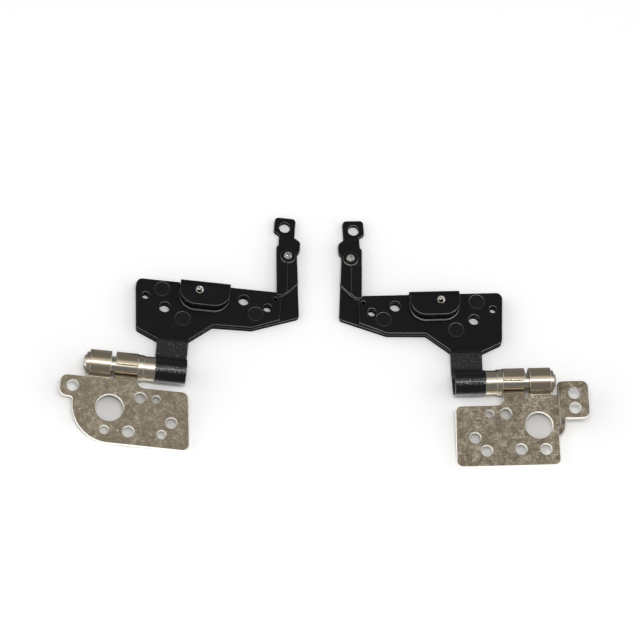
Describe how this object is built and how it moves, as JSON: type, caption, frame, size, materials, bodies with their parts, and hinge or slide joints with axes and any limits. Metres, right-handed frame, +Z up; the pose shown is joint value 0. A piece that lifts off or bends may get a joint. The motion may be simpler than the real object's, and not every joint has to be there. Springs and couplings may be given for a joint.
{
  "type": "laptop hinge pair",
  "caption": "Left and right friction hinges for a notebook lid: nickelled base plates rolled round shafts, black lid brackets with a folded tab and a long arm.",
  "frame": {"origin": "on the table, under the middle of the whole pair's bounding box", "axes": "+X from the left hinge to the right hinge, +Y from the base plates towards the lid brackets, +Z up"},
  "size_m": [0.1268, 0.064, 0.0066],
  "materials": {
    "satin_nickel": "satin nickel plate on steel sheet, with fine handling scratches",
    "bright_nickel": "turned steel, bright nickel plate",
    "black_coat": "half-gloss black coat with a slight orange peel"
  },
  "bodies": {
    "base": {"left_base_plate": "satin_nickel", "right_base_plate": "satin_nickel"},
    "left_lid": {"left_shaft": "bright_nickel", "left_thrust_washer": "bright_nickel", "left_end_washer": "bright_nickel", "left_lid_leaf": "black_coat", "left_lid_bracket": "black_coat", "left_rivets": "black_coat"},
    "right_lid": {"right_shaft": "bright_nickel", "right_thrust_washer": "bright_nickel", "right_end_washer": "bright_nickel", "right_lid_leaf": "black_coat", "right_lid_bracket": "black_coat", "right_rivets": "black_coat"}
  },
  "joints": [
    {"name": "left_lid_hinge", "type": "hinge", "parent": "base", "child": "left_lid", "pos_m": [-0.0371, -0.01091, 0.00328], "axis": [0.9976, -0.0698, 0], "range_deg": [0, 175]},
    {"name": "right_lid_hinge", "type": "hinge", "parent": "base", "child": "right_lid", "pos_m": [0.0347, -0.01091, 0.00328], "axis": [0.9976, 0.0698, 0], "range_deg": [0, 175]}
  ]
}
